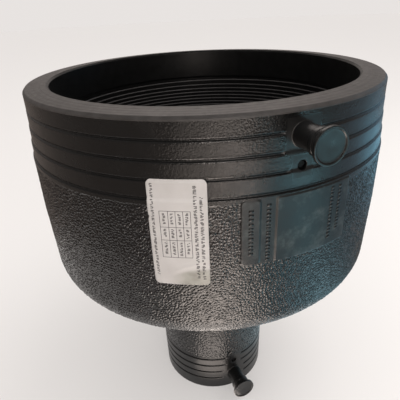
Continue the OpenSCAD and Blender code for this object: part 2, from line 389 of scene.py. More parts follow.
def large_relief(az, r, z, run):
    """Offset of the large wall's surface, with the data plate and the rings, and its grain."""
    height, across = np.broadcast_arrays(z, az)
    plate = plate_amount(across, height)
    along_label = BELLY_R * (across - LABEL_AZ)
    under_label = in_patch(along_label, height, LABEL_W, LABEL_Z0, LABEL_Z1, 2.0, 1.5)
    zone = plate_zone(across, height)
    bare = (1 - zone) * (1 - under_label)
    rough = (1 - smooth(GRAIN_TOP, GRAIN_TOP + 1.5, height)) * bare
    offset = PLATE_LIFT * plate
    if rough.any():
        offset = offset - rough * PEBBLES.depth(az, run, r)
    offset = offset + ring_cuts(across, r, height, LARGE_RINGS, LARGE, LARGE_GROOVE)
    return offset, bare * (0.55 + 0.45 * rough) - zone


def small_relief(az, r, z, run):
    """Offset of the small end's surface, with its rings, and its grain."""
    height, across = np.broadcast_arrays(z, az)
    top = SMALL_RINGS[-1]
    rough = smooth(top + 1, top + 4, height)
    finer = smooth(78, 84, height)
    offset = -rough * ((1 - finer) * NECK_PEBBLES.depth(az, run, r) + finer * PEBBLES.depth(az, run, r))
    return offset + ring_cuts(across, r, height, SMALL_RINGS, SMALL, SMALL_GROOVE), rough


def no_relief(*where):
    """A smooth stretch, without grain."""
    return 0.0, 0.0


def rim_relief(az, r, z, run):
    """Fine rings that the lathe left on the large rim, of random height."""
    marks = np.random.default_rng(11).uniform(-1, 1, LATHE_MARKS)
    cut = np.interp(r, np.linspace(BORE_R, RIM_R, LATHE_MARKS), marks)
    return LATHE_DEPTH * cut + 0.0 * az, 0.0


def run_lengths(rows):
    """How far along the outline each row lies from the first."""
    return np.concatenate([[0], np.cumsum(np.linalg.norm(np.diff(rows, axis=0), axis=1))])


def wall_grid(skin, rows, start, columns, relief, before, after):
    """One stretch of the body's surface, as a grid of points once round from the back.

    start is how far along the outline the stretch begins. before and after are the rows next
    to the stretch, for the slopes at its two ends.
    """
    line_points = np.array([before] + rows + [after])
    run = line_points[2:] - line_points[:-2]
    run /= np.linalg.norm(run, axis=1)[:, None]
    r, z = np.array(rows).T[:, :, None]
    run_r, run_z = run.T[:, :, None]
    az = once_round(columns)[None, :] - math.pi
    along = (start + run_lengths(rows))[:, None]
    offset, grained = relief(az, r, z, along)
    probe = 0.12
    sideways = (relief(az + probe / r, r, z, along)[0] - offset) / probe
    upwards = relief(az, r + probe * run_r, z + probe * run_z, along + probe)[0]
    upwards = (upwards - offset) / probe
    out = run_z - upwards * run_r
    normal = np.stack([
        out * np.sin(az) - sideways * np.cos(az),
        -out * np.cos(az) - sideways * np.sin(az),
        -run_r - upwards * run_z + 0 * az,
    ], -1)
    normal /= np.linalg.norm(normal, axis=-1)[..., None]
    radius = r + offset * run_z
    return skin.loop(radius * np.sin(az), -radius * np.cos(az), z - offset * run_r, grained, normal)


def window(grid, rows, low, high, half, radius):
    """A square hole in front of a grid: its edge, anticlockwise from outside, and its cells."""
    z = np.array([row[1] for row in rows])
    bottom = int(np.searchsorted(z, low) - 1)
    top = int(np.searchsorted(z, high))
    middle = grid.shape[1] // 2
    reach = math.ceil(half / radius / (2 * math.pi / grid.shape[1]))
    left, right = middle - reach, middle + reach
    edge = np.concatenate([
        grid[bottom, left:right],
        grid[bottom:top, right],
        grid[top, right:left:-1],
        grid[top:bottom:-1, left],
    ])
    return edge, (bottom, top, left, right)


def grid_faces(skin, grid, windows):
    """Quads of a grid that closes round, apart from its windows."""
    rows, columns = grid.shape
    keep = np.ones((rows - 1, columns), bool)
    for bottom, top, left, right in windows:
        keep[bottom:top, left:right] = False
    right_side = np.roll(grid, -1, axis=1)
    quads = np.stack([grid[:-1], right_side[:-1], right_side[1:], grid[1:]], -1)
    skin.add(quads[keep])


def wall_fitting(skin, edge, centre_z, wall_radius, profile):
    """Rings from a window's edge inwards around an axis along -Y, then along a profile to its end.

    The profile's points are (distance from the axis, height above the wall or None, level or
    None): a height follows the wall's curve, a level is a distance from the body's axis.
    """
    points = np.concatenate(skin.points)[edge]
    angle = np.unwrap(np.arctan2(points[:, 2] - centre_z, points[:, 0]))
    even = angle[0] + once_round(len(edge))
    even += (angle - even).mean()
    reach = np.hypot(points[:, 0], points[:, 2] - centre_z)
    first = profile[0][0]
    last = edge
    for step in (0.25, 0.5, 0.75):
        turn = angle * (1 - step) + even * step
        distance = reach * (1 - step) + first * step
        x, z = distance * np.cos(turn), centre_z + distance * np.sin(turn)
        ring = skin.loop(x, -np.sqrt(wall_radius(z) ** 2 - x**2), z)
        skin.join(last, ring)
        last = ring
    for distance, height, level in profile:
        x, z = distance * np.cos(even), centre_z + distance * np.sin(even)
        surface = np.sqrt(wall_radius(z) ** 2 - x**2)
        ring = skin.loop(x, -(surface + height) if level is None else -level, z)
        skin.join(last, ring)
        last = ring
    skin.fan(last)


def fitting_profile(near_wall, further):
    """A fitting's profile, whose first points follow the wall and whose others don't."""
    return [(r, height, None) for r, height in near_wall] + [(r, None, level) for r, level in further]


def shroud_profile(wall_r):
    """A shroud that rises from the wall by a fillet, with its bore down to the pin's collar."""
    top = wall_r + SHROUD_H
    floor = wall_r + SHROUD_FLOOR
    foot = arc(SHROUD_R + SHROUD_FILLET, SHROUD_FILLET, SHROUD_FILLET, 270, 180, 6)
    outside = [(SHROUD_R, top - depth) for depth in (11.5, 9.0, 6.0, 3.0, 1.0, 0.6)]
    lip = arc(SHROUD_R - LIP_ROUND, top - LIP_ROUND, LIP_ROUND, 15, 90, 5)
    mouth = arc(SHROUD_BORE_R + EDGE_ROUND, top - EDGE_ROUND, EDGE_ROUND, 90, 180, 6)
    depths = (0.6, 4.0, 8.0, SHROUD_H - SHROUD_FLOOR - 0.5)
    bore = [(SHROUD_BORE_R, top - depth) for depth in depths]
    corner = arc(SHROUD_BORE_R - EDGE_ROUND, floor + EDGE_ROUND, EDGE_ROUND, 0, -90, 6)
    socket = [(COLLAR_R + 0.6, floor)]
    socket += [(COLLAR_R + COLLAR_GAP, floor - depth) for depth in (0, 0.2, 2.6)]
    return fitting_profile(foot, outside + lip + mouth + bore + corner + socket)


def hole_profile(wall_r):
    """The blind hole of a fusion indicator, with a rounded edge."""
    edge = arc(INDICATOR_MOUTH_R + EDGE_ROUND, -EDGE_ROUND, EDGE_ROUND, 90, 180, 3)
    bore = [(INDICATOR_HOLE_R, wall_r - depth) for depth in (0.7, 1.1, 1.4, 4.0, 8.0, 8.4)]
    return fitting_profile(edge, bore)


def fit_features(skin, grid, rows, place, wall_radius):
    """Opens the wall for a terminal and its indicator, builds both and returns the windows."""
    windows = []
    for z, half, profile in (
        (place["z"], WINDOW_OF_SHROUD, shroud_profile(place["wall_r"])),
        (place["hole_z"], WINDOW_OF_HOLE, hole_profile(place["hole_wall_r"])),
    ):
        edge, cells = window(grid, rows, z - half, z + half, half, place["wall_r"])
        wall_fitting(skin, edge, z, wall_radius, profile)
        windows.append(cells)
    return windows


# ---------------------------------------------------------------- the body's profile


def coil_run(turns):
    """Depth along the socket that a coil has reached after so many turns."""
    return COIL_PITCH * turns + COIL_SPREAD * (1 - np.exp(-turns / SPREAD_TURNS))


def rounded(points, radius, steps=3):
    """An outline's inner corners, each cut by a small round."""
    made = [points[0]]
    for before, corner, after in zip(points[:-2], points[1:-1], points[2:]):
        a, p, b = (np.array(q, float) for q in (before, corner, after))
        into, out = p - a, b - p
        cut = min(radius, 0.45 * np.linalg.norm(into), 0.45 * np.linalg.norm(out))
        start = p - into / np.linalg.norm(into) * cut
        end = p + out / np.linalg.norm(out) * cut
        for i in range(steps + 1):
            t = i / steps
            made.append(tuple(start * (1 - t) ** 2 + 2 * p * t * (1 - t) + end * t**2))
    made.append(points[-1])
    return made


def with_steps(points, step):
    """The same outline with extra points on its long stretches."""
    made = [points[0]]
    for start, end in zip(points[:-1], points[1:]):
        made += line(start, end, step) + [end]
    return made


def outer_stretches():
    """The outer wall from the small mouth up to the large rim, as (rows, columns, relief)."""
    shoulder_r = SHOULDER_OUT - SHOULDER_R
    slope = math.degrees(CONE_SLOPE)
    shoulder = arc(shoulder_r, SHOULDER_Z, SHOULDER_R, slope - 90, 0, 38)
    cone_top = shoulder[0]
    foot_z = cone_top[1] - (cone_top[0] - NECK_R) * math.tan(CONE_SLOPE)
    neck_z = foot_z - NECK_FILLET * math.tan((math.pi / 2 - CONE_SLOPE) / 2)
    neck = arc(NECK_R + NECK_FILLET, neck_z, NECK_FILLET, 180, 90 + slope, 22)
    cone = [neck[-1]] + line(neck[-1], cone_top, GRAIN_STEP)
    small_z = heights(1.3, neck_z - 0.3, 0.6, 0.2, SMALL_RINGS, 1.2)
    small = arc(SMALL_END_R - 1, 1, 1, -90, 0, 6) + [(float(small_wall(z)), z) for z in small_z]
    low_cone = [p for p in cone if p[0] < 62]
    mid_cone = [p for p in cone if 62 <= p[0] < 88]
    high_cone = [p for p in cone if p[0] >= 88]
    wall_z = heights(SHOULDER_Z + 0.6, 226.6, GRAIN_STEP, 0.3, [PLATE_Z0, PLATE_Z1, LARGE_RINGS[0]], 1.3)
    wall = [(float(large_wall(z)), z) for z in wall_z]
    band_z = heights(wall_z[-1] + 0.5, TOTAL_H - RIM_BEVEL - 0.6, 0.9, 0.22, LARGE_RINGS, 1.5)
    bands = [(float(large_wall(z)), z) for z in band_z]
    return [
        (small + neck + low_cone[1:], COLUMNS_WALL, small_relief),
        (mid_cone, COLUMNS_CONE, large_relief),
        (high_cone + shoulder + wall, COLUMNS_GRAIN, large_relief),
        (bands, COLUMNS_WALL, large_relief),
    ]


def rim_rows():
    """The bevelled outer edge, the rim, which falls a little outwards, and the bore's chamfer."""
    foot = (RIM_R, TOTAL_H - RIM_BEVEL)
    crest = (RIM_R - RIM_BEVEL_W, TOTAL_H - RIM_FALL)
    inner = (BORE_R + MOUTH_CHAMFER, TOTAL_H)
    edge = rounded([(RIM_R, TOTAL_H - RIM_BEVEL - 0.5), foot, crest, inner], 0.3)[:-1]
    face = line(edge[-1], inner, 0.35)
    chamfer = rounded([face[-1], inner, (BORE_R, TOTAL_H - MOUTH_CHAMFER)], 0.35)[1:-1]
    return edge[1:] + face, chamfer


def bore_rows():
    """The large socket, from the chamfer's foot past its stop to the foot of the chamber."""
    top = LARGE_COIL_Z + ZONE_MARGIN
    bottom = LARGE_COIL_Z - coil_run(LARGE_TURNS) - ZONE_MARGIN
    outline = [
        (BORE_R + 0.3, TOTAL_H - MOUTH_CHAMFER + 0.3),
        (BORE_R, TOTAL_H - MOUTH_CHAMFER),
        (BORE_R, top),
        (BORE_R + ZONE_RELIEF, top - ZONE_RELIEF),
        (BORE_R + ZONE_RELIEF, bottom),
        (BORE_R, bottom - ZONE_RELIEF),
        (BORE_R, STOP_Z),
        (BORE_R - STOP_W, STOP_Z),
        (BORE_R - STOP_W, chamber_z(BORE_R - STOP_W)),
        (THROAT_R + 8, chamber_z(THROAT_R + 8)),
    ]
    return with_steps(rounded(outline, 0.5), 3.0)


def chamber_z(r):
    """Height of the chamber's cone, one wall thickness inside the outer cone."""
    cone_top_r = SHOULDER_OUT - SHOULDER_R + SHOULDER_R * math.sin(CONE_SLOPE)
    cone_top_z = SHOULDER_Z - SHOULDER_R * math.cos(CONE_SLOPE)
    return cone_top_z + CONE_WALL / math.cos(CONE_SLOPE) - (cone_top_r - r) * math.tan(CONE_SLOPE)


def throat_rows():
    """From the chamber's foot through the throat and the small socket to the small mouth."""
    top = SMALL_COIL_Z + coil_run(SMALL_TURNS) + ZONE_MARGIN
    bottom = SMALL_COIL_Z - ZONE_MARGIN
    outline = [
        (THROAT_R + 7, chamber_z(THROAT_R + 7)),
        (THROAT_R, chamber_z(THROAT_R)),
        (THROAT_R, SMALL_DEPTH),
        (SMALL_BORE_R, SMALL_DEPTH),
        (SMALL_BORE_R, top + ZONE_RELIEF),
        (SMALL_BORE_R + ZONE_RELIEF, top),
        (SMALL_BORE_R + ZONE_RELIEF, bottom + ZONE_RELIEF),
        (SMALL_BORE_R, bottom),
        (SMALL_BORE_R, MOUTH_CHAMFER),
        (SMALL_BORE_R + MOUTH_CHAMFER, 0),
        (SMALL_BORE_R + MOUTH_CHAMFER + 2, 0),
    ]
    return with_steps(rounded(outline, 0.5), 3.0)


outer_rows = [row for rows, _, _ in outer_stretches() for row in rows]
outer_r = [row[0] for row in outer_rows]
PEBBLES = Pebbles(run_lengths(outer_rows), outer_r, GRAIN_PITCH, 3)
NECK_PEBBLES = Pebbles(run_lengths(outer_rows), outer_r, NECK_PITCH, 4)


def make_body(materials):
    """The whole moulded body as one closed skin."""
    skin = Skin()
    rim, chamfer = rim_rows()
    stretches = outer_stretches()
    last_band = stretches[-1]
    stretches += [
        (rim, COLUMNS_WALL, rim_relief),
        (chamfer, COLUMNS_WALL, no_relief),
        (bore_rows(), COLUMNS_BORE, no_relief),
        (throat_rows(), COLUMNS_SMALL_BORE, no_relief),
    ]
    edges = []
    start = 0.0
    for i, (rows, columns, relief) in enumerate(stretches):
        before = stretches[i - 1][0][-1]
        after = stretches[(i + 1) % len(stretches)][0][0]
        grid = wall_grid(skin, rows, start, columns, relief, before, after)
        start += run_lengths(rows + [after])[-1]
        skin.kind = {rim_relief: 1, no_relief: 2}.get(relief, 0)
        windows = []
        if i == 0:
            windows = fit_features(skin, grid, rows, SMALL, small_wall)
        if stretches[i] is last_band:
            windows = fit_features(skin, grid, rows, LARGE, large_wall)
        grid_faces(skin, grid, windows)
        if edges:
            skin.join(edges[-1], grid[0])
        edges += [grid[0], grid[-1]]
    skin.join(edges[-1], edges[0])
    made = skin.piece("body_skin", "fitting", materials)
    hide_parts("body")


# ---------------------------------------------------------------- coils


def make_coil(name, node, radius, start_z, direction, turns, material):
    """A covered wire wound against the socket's wall."""
    steps, sides = 144, 10
    t = np.arange(turns * steps + 1)[:, None] / steps
    angle = once_round(sides)[None, :]
    r = radius + WIRE_D / 2 * np.cos(angle)
    z = start_z + direction * coil_run(t) + WIRE_D / 2 * np.sin(angle)
    turn = 2 * math.pi * t
    skin = Skin()
    grid = skin.loop(r * np.sin(turn), -r * np.cos(turn), z)
    if direction > 0:
        grid = grid[::-1]
    closed = np.concatenate([grid, grid[:, :1]], 1)
    skin.strip(closed[:, ::-1])
    skin.fan(grid[0])
    skin.fan(grid[-1][::-1])
    made = skin.piece(name, "fitting", [material])
    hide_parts(node)


# ---------------------------------------------------------------- terminal caps


def cap_outline(wall_r):
    """Half the section of a dust cap, as (distance from its axis, distance from the body's axis)."""
    face = wall_r + CAP_FACE
    flange = face - CAP_FLANGE
    skirt_r = SHROUD_R + CAP_GAP
    outer_r = skirt_r + CAP_WALL
    mouth = wall_r + SHROUD_H - CAP_SKIRT
    roof = wall_r + SHROUD_H + 0.3
    under = [(0.0, roof), (2.0, roof), (4.0, roof), (skirt_r, roof), (skirt_r, mouth), (outer_r, mouth)]
    rings = []
    for back in (3.3, 2.2):
        cut = flange - back
        rings += [(outer_r, cut - 0.25), (outer_r - 0.28, cut), (outer_r, cut + 0.25)]
    collar = [(outer_r, flange - 1.0), (outer_r + 0.25, flange - 0.8), (outer_r + 0.25, flange)]
    rim = [(CAP_R, flange), (CAP_R, face), (CAP_R - 0.95, face), (CAP_R - 1.35, face - 0.62)]
    return rounded(under + rings + collar + rim + [(0.0, face - 0.9)], 0.22)


def make_cap(name, node, body, place, material):
    """A dust cap pushed over a terminal's shroud."""
    outline = with_steps(cap_outline(place["wall_r"]), 1.2)
    turn = once_round(120)
    skin = Skin()
    last = None
    for distance, level in outline[1:-1]:
        x, z = distance * np.cos(turn), place["z"] + distance * np.sin(turn)
        ring = skin.loop(x, -level, z)
        if last is None:
            skin.fan(ring[::-1])
        else:
            skin.join(last, ring)
        last = ring
    skin.fan(last)
    made = skin.piece(name, body, [material])
    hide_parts(node)


# ---------------------------------------------------------------- label and plate marks


def label_lift(u, z):
    """How far the label stands off the wall: a crease across its lower corner and a soft wave."""
    fold = (z - LABEL_Z0 - 9.0) - 0.42 * (u + 3.0)
    crease = 0.32 * np.exp(-((fold / 0.9) ** 2)) * smooth(-7, 2, u)
    corner = 0.22 * smooth(0, 6, -fold) * smooth(0, 12, u)
    wave = 0.03 * np.sin(0.5 * u + 0.31 * z) * np.sin(0.23 * z)
    return 0.28 + crease + corner + wave


def label_greyer_below_fold(u, z):
    """How grey the paper is: its lower corner has come loose, and the paper is greyer below a line
    across it.
    """
    below = 8.0 + 0.3 * (u + 3.0) - 0.012 * (u - 2.0) ** 2 - (z - LABEL_Z0)
    return smooth(0, 2.5, below) * smooth(-8, 4, u)


def on_wall(az, z, above):
    """A point above the large end's wall."""
    r = large_wall(z) + above
    return r * np.sin(az), -r * np.cos(az), z


def label_point(u, z, above):
    """A point above the wall, u along it from the label's middle."""
    return on_wall(LABEL_AZ + u / BELLY_R, z, above)


def label_half_width(z, side):
    """Half the label's width at a height; the corners are round and the left edge has a nick."""
    near_end = np.minimum(z - LABEL_Z0, LABEL_Z1 - z)
    inside = np.clip(LABEL_CORNER - near_end, 0, LABEL_CORNER)
    cut = LABEL_CORNER - np.sqrt(LABEL_CORNER**2 - inside**2)
    nick = 0.5 * np.exp(-(((z - LABEL_Z0 - 40.5) / 0.8) ** 2)) if side < 0 else 0.0
    return side * (LABEL_W / 2 - cut - nick)


def make_label(paper):
    """The paper label, a thin sheet wrapped on the wall."""
    end = np.array([0.02, 0.15, 0.4, 0.8, 1.3, 1.9])
    z = np.concatenate([
        LABEL_Z0 + end,
        np.linspace(LABEL_Z0 + LABEL_CORNER, LABEL_Z1 - LABEL_CORNER, 80),
        (LABEL_Z1 - end)[::-1],
    ])[:, None]
    share = np.linspace(0, 1, 44)[None, :]
    u = label_half_width(z, -1) * (1 - share) + label_half_width(z, 1) * share
    skin = Skin()
    lift = label_lift(u, z)
    front = skin.loop(*label_point(u, z, lift), label_greyer_below_fold(u, z))
    back = skin.loop(*label_point(u, z, 0.02 + 0 * lift))
    skin.slab(front, back)
    made = skin.piece("label_sheet", "fitting", [paper])
    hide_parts("label")


def bar(skin, place, u0, u1, z0, z1, low, high):
    """A thin raised bar on a curved surface; place turns (u, z, above) into a point."""
    across = max(2, math.ceil(abs(u1 - u0) / 1.5) + 1)
    along = max(2, math.ceil(abs(z1 - z0) / 1.5) + 1)
    u = np.linspace(u0, u1, across)[None, :]
    z = np.linspace(z0, z1, along)[:, None]
    u, z = np.broadcast_arrays(u, z)
    skin.slab(skin.loop(*place(u, z, high)), skin.loop(*place(u, z, low)))


def dashes(rng, low, high, shortest, longest, gap):
    """Random lengths of dash and gap from high down to low, as (low, high) pairs."""
    found, z = [], high
    while z - shortest > low:
        length = min(rng.uniform(shortest, longest), z - low)
        found.append((z - length, z))
        z -= length + gap * rng.uniform(0.7, 1.5)
    return found


def make_label_print(ink):
    """Plain hatching and a table of hatched cells where the label is printed; no letters."""
    rng = np.random.default_rng(5)
    skin = Skin()

    def place(u, z, above):
        return label_point(u, z, label_lift(u, z) + above)

    def ink_bar(u0, u1, z0, z1):
        bar(skin, place, u0, u1, z0, z1, -0.05, 0.02)

    def hatch(u, width, low, high, longest):
        """A column of small blocks, each of a few strokes across."""
        for z0, z1 in dashes(rng, low, high, 0.9, longest, 0.45):
            left, right = u - width / 2, u + width / 2
            for z in np.arange(z0 + 0.16, z1, 0.5):
                cut = rng.uniform(0, 0.6 * width)
                side = rng.integers(2)
                ink_bar(left + side * cut, right - (1 - side) * cut, z - 0.17, z + 0.17)

    middle = (LABEL_Z0 + LABEL_Z1) / 2
    for u, width, top, bottom in PRINT_COLUMNS:
        hatch(u, width, middle + bottom, middle + top, 2.2)
    for u in TABLE_COLUMNS:
        ink_bar(u - 0.12, u + 0.12, middle + TABLE_ROWS[-1], middle + TABLE_ROWS[0])
    for z in TABLE_ROWS:
        ink_bar(TABLE_COLUMNS[0], TABLE_COLUMNS[-1], middle + z - 0.12, middle + z + 0.12)
    for left, right in zip(TABLE_COLUMNS[:-1], TABLE_COLUMNS[1:]):
        for top, bottom in zip(TABLE_ROWS[:-1], TABLE_ROWS[1:]):
            hatch((left + right) / 2, 1.5, middle + bottom + 1.2, middle + top - 1.0, 1.6)
    skin.piece("label_print", "fitting", [ink])


def make_plate_marks(pe):
    """Raised dashes in upright columns on the data plate, in place of its lettering."""
    rng = np.random.default_rng(9)
    skin = Skin()
    for degrees, width, low, high, base in (
        (-12.9, 2.4, 190.5, 218.0, PLATE_LIFT),
        (-8.5, 2.2, 187.5, 220.0, 0.0),
        (9.6, 2.2, 189.0, 221.0, PLATE_LIFT),
        (12.4, 2.2, 194.0, 220.5, PLATE_LIFT),
    ):
        az, half = math.radians(degrees), width / 2 / BELLY_R
        for z0, z1 in dashes(rng, low, high, 0.7, 1.5, 0.9):
            bar(skin, on_wall, az - half, az + half, z0, z1, base - 0.2, base + 0.22)
    skin.piece("plate_marks", "fitting", [pe])


# ---------------------------------------------------------------- materials


class Nodes:
    """A node tree, with short names for what this file uses."""

    def __init__(self, tree):
        self.tree = tree

    def add(self, kind, **settings):
        node = self.tree.nodes.new(kind)
        for key, value in settings.items():
            setattr(node, key, value)
        return node

    def link(self, start, end):
        self.tree.links.new(start, end)

    def mix(self, field, low, high, dark, light, **settings):
        """A value that runs from dark to light as the field runs from low to high."""
        node = self.add("ShaderNodeMapRange", **settings)
        for key, value in (("From Min", low), ("From Max", high), ("To Min", dark), ("To Max", light)):
            node.inputs[key].default_value = value
        self.link(field, node.inputs["Value"])
        return node.outputs["Result"]

    def colour(self, field, stops):
        """Colours along a field, as (place, (r, g, b)) stops."""
        node = self.add("ShaderNodeValToRGB")
        ramp = node.color_ramp.elements
        while len(ramp) < len(stops):
            ramp.new(0.5)
        for element, (place, rgb) in zip(ramp, stops):
            element.position = place
            element.color = (*rgb, 1)
        self.link(field, node.inputs["Fac"])
        return node.outputs["Color"]


class Shader(Nodes):
    """A material, with its main shader and noise fields in the object's own space."""

    def __init__(self, name):
        self.material = bpy.data.materials.new(name)
        self.material.use_nodes = True
        super().__init__(self.material.node_tree)
        self.base = self.tree.nodes["Principled BSDF"]
        self.where = self.add("ShaderNodeTexCoord").outputs["Object"]

    def set(self, **values):
        """Sets sockets of the main shader; an underscore stands for a space."""
        for key, value in values.items():
            self.base.inputs[key.replace("_", " ")].default_value = value

    def noise(self, wave, detail=2.0, roughness=0.5, squash=(1, 1, 1)):
        """A noise field whose bumps are about one wavelength, in millimetres, across."""
        node = self.add("ShaderNodeTexNoise")
        node.inputs["Scale"].default_value = 1.0 / (wave * MM)
        node.inputs["Detail"].default_value = detail
        node.inputs["Roughness"].default_value = roughness
        mapping = self.add("ShaderNodeMapping")
        mapping.inputs["Scale"].default_value = squash
        self.link(self.where, mapping.inputs["Vector"])
        self.link(mapping.outputs["Vector"], node.inputs["Vector"])
        return node.outputs["Fac"]

    def paint(self, colour):
        """Colours the main shader."""
        self.link(colour, self.base.inputs["Base Color"])

    def gloss(self, field, low, high):
        """Lets the roughness wander between low and high along a noise field."""
        self.link(self.mix(field, 0.3, 0.7, low, high), self.base.inputs["Roughness"])

    def product(self, first, second):
        """Two fields multiplied."""
        node = self.add("ShaderNodeMath", operation="MULTIPLY")
        self.link(first, node.inputs[0])
        self.link(second, node.inputs[1])
        return node.outputs["Value"]

    def between(self, share, first, second):
        """The first colour where share is 0, and the second where it is 1."""
        node = self.add("ShaderNodeMix", data_type="RGBA")
        for start, end in ((share, "Factor"), (first, "A"), (second, "B")):
            self.link(start, next(i for i in node.inputs if i.name == end and i.enabled))
        return next(o for o in node.outputs if o.enabled)

    def attribute(self, name):
        """A number stored with the mesh's points."""
        return self.add("ShaderNodeAttribute", attribute_name=name).outputs["Fac"]

    def bump(self, fields):
        """Stacks bump layers, as (field, height in millimetres)."""
        normal = None
        for field, height in fields:
            node = self.add("ShaderNodeBump")
            node.inputs["Strength"].default_value = 1.0
            node.inputs["Distance"].default_value = height * MM
            self.link(field, node.inputs["Height"])
            if normal is not None:
                self.link(normal, node.inputs["Normal"])
            normal = node.outputs["Normal"]
        self.link(normal, self.base.inputs["Normal"])


def moulded_pe():
    """Black polyethylene as it leaves the mould: waxy, a little uneven, grained where the mould was.

    The grain attribute is 1 on the grain and -1 on the data plate, which is scuffed and carries a
    painted greenish sheen.
    """
    s = Shader("pe_black")
    s.set(Specular_IOR_Level=0.5, IOR=1.51)
    mould = s.attribute("grain")
    grained = s.mix(mould, 0, 1, 0, 1)
    rubbed_and_sheen = s.mix(s.noise(11, detail=6, roughness=0.62), 0.47, 0.62, 0, 1)
    scuff_and_sheen = s.product(rubbed_and_sheen, s.mix(mould, -1, 0, 1, 0))
    black = s.colour(s.noise(28, detail=3), [(0.3, (0.003,) * 3), (0.7, (0.005,) * 3)])
    # the pale greenish mottle on the data plate: partly wear, partly a painted sheen
    wear_and_sheen = s.colour(s.noise(2.5, detail=6), [(0.35, (0.008, 0.01, 0.01)), (0.65, (0.04, 0.046, 0.044))])
    s.paint(s.between(scuff_and_sheen, black, wear_and_sheen))
    polish = s.add("ShaderNodeMath", operation="MULTIPLY_ADD")
    polish.inputs[1].default_value = -0.24
    s.link(grained, polish.inputs[0])
    s.link(s.mix(s.noise(9, detail=4), 0.3, 0.7, 0.32, 0.42), polish.inputs[2])
    s.link(polish.outputs["Value"], s.base.inputs["Roughness"])
    pits = s.product(s.mix(s.noise(1.0, detail=1.5), 0.35, 0.65, 0, 1), grained)
    s.bump([(pits, 0.1), (s.noise(0.8, detail=3), 0.02), (s.noise(8, detail=2), 0.08)])
    return s.material


def finish(name, tint, gloss, bumps, **sockets):
    """A material whose colour and roughness wander a little, under stacked bumps.

    tint and gloss are (noise, from, to), and a bump is (noise, height in millimetres), where a
    noise is the arguments of Shader.noise. sockets are set on the main shader.
    """
    s = Shader(name)
    s.set(**sockets)
    noise, dark, light = tint
    s.paint(s.colour(s.noise(*noise), [(0.3, dark), (0.7, light)]))
    noise, low, high = gloss
    s.gloss(s.noise(*noise), low, high)
    s.bump([(s.noise(*noise), height) for noise, height in bumps])
    return s.material


def machined_pe():
    """The turned rim: paler, with a fine drag across the cut."""
    tint = (6, 5), (0.032, 0.028, 0.026), (0.052, 0.046, 0.043)
    bumps = [((0.6, 3, 0.6), 0.02)]
    return finish("pe_machined", tint, ((3, 4), 0.4, 0.52), bumps, Specular_IOR_Level=0.5, IOR=1.51)


def bored_pe():
    """The inside: dull black, with the cutter's fine drag."""
    tint = (8, 4), (0.0022,) * 3, (0.0036,) * 3
    bumps = [((0.7, 3), 0.012)]
    return finish("pe_bored", tint, ((4, 4), 0.3, 0.4), bumps, Specular_IOR_Level=0.3, IOR=1.51)


def cap_plastic():
    """The caps' smooth, waxy plastic."""
    tint = (5, 3), (0.003, 0.0033, 0.0034), (0.005, 0.0055, 0.0057)
    bumps = [((0.5, 2), 0.006), ((4, 2), 0.03)]
    return finish("cap_plastic", tint, ((4, 4), 0.26, 0.38), bumps, Specular_IOR_Level=0.5, IOR=1.5)


def indicator_plastic():
    """The indicator's plain polyethylene pin."""
    tint = (2, 3), (0.003,) * 3, (0.005,) * 3
    bumps = [((0.5, 3), 0.01)]
    return finish("indicator_pe", tint, ((1.5, 3), 0.5, 0.65), bumps, Specular_IOR_Level=0.2, IOR=1.51)


def turned_brass():
    """The contact pins' brass."""
    tint = (2, 3), (0.62, 0.44, 0.16), (0.78, 0.58, 0.25)
    bumps = [((0.35, 2, 0.5, (1, 6, 1)), 0.006)]
    return finish("brass", tint, ((0.7, 3), 0.2, 0.38), bumps, Metallic=1.0)


def covered_wire():
    """Heating wire under a skin of black polyethylene, coloured dark grey as a painted sheen for the
    rings' soft grey highlights.
    """
    # painted sheen: a grey well above the body's black, standing for the soft highlights along the wire
    # rings
    tint = (5, 3), (0.042, 0.039, 0.039), (0.062, 0.058, 0.058)
    bumps = [((0.6, 3), 0.015)]
    return finish("wire_cover_painted_sheen", tint, ((3, 3), 0.3, 0.45), bumps, Specular_IOR_Level=0.5, IOR=1.51)


def label_paper():
    """Coated label paper, slightly rippled; the grain attribute is 1 where it is greyer, below a line
    across its loose lower corner.
    """
    s = Shader("label_stock")
    s.set(Specular_IOR_Level=0.4)
    clean = s.colour(s.noise(14, detail=5), [(0.3, (0.55, 0.515, 0.49)), (0.7, (0.63, 0.595, 0.57))])
    # a greyer tone below a line across the label's lower corner
    greyer = s.colour(s.noise(5, detail=4), [(0.3, (0.30, 0.285, 0.245)), (0.7, (0.42, 0.4, 0.355))])
    s.paint(s.between(s.attribute("grain"), clean, greyer))
    s.gloss(s.noise(3, detail=3), 0.45, 0.6)
    s.bump([(s.noise(0.5, detail=3), 0.008), (s.noise(6, detail=2), 0.08)])
    return s.material


def label_ink():
    """Printed ink, a little broken."""
    s = Shader("label_ink")
    s.set(Specular_IOR_Level=0.3)
    dark, faint = (0.02, 0.019, 0.019), (0.09, 0.085, 0.085)
    s.paint(s.colour(s.noise(0.7, detail=3), [(0.35, dark), (0.65, faint)]))
    s.gloss(s.noise(2, detail=3), 0.5, 0.65)
    return s.material


def dress(node, material):
    """Gives a CAD piece its finish."""
    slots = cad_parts[node].material_slots
    if not slots:
        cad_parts[node].data.materials.append(material)
    for slot in slots:
        slot.material = material


# ---------------------------------------------------------------- build

pe, machined, bored = moulded_pe(), machined_pe(), bored_pe()
caps, wire, brass = cap_plastic(), covered_wire(), turned_brass()
indicator = indicator_plastic()

make_body([pe, machined, bored])
make_coil("large_coil_wire", "large_coil", BORE_R + 1.0, LARGE_COIL_Z, -1, LARGE_TURNS, wire)
make_coil("small_coil_wire", "small_coil", SMALL_BORE_R + 0.85, SMALL_COIL_Z, 1, SMALL_TURNS, wire)
make_cap("large_cap_moulding", "large_terminal_cap", "large_cap", LARGE, caps)
make_cap("small_cap_moulding", "small_terminal_cap", "small_cap", SMALL, caps)
make_label(label_paper())
make_label_print(label_ink())
make_plate_marks(pe)

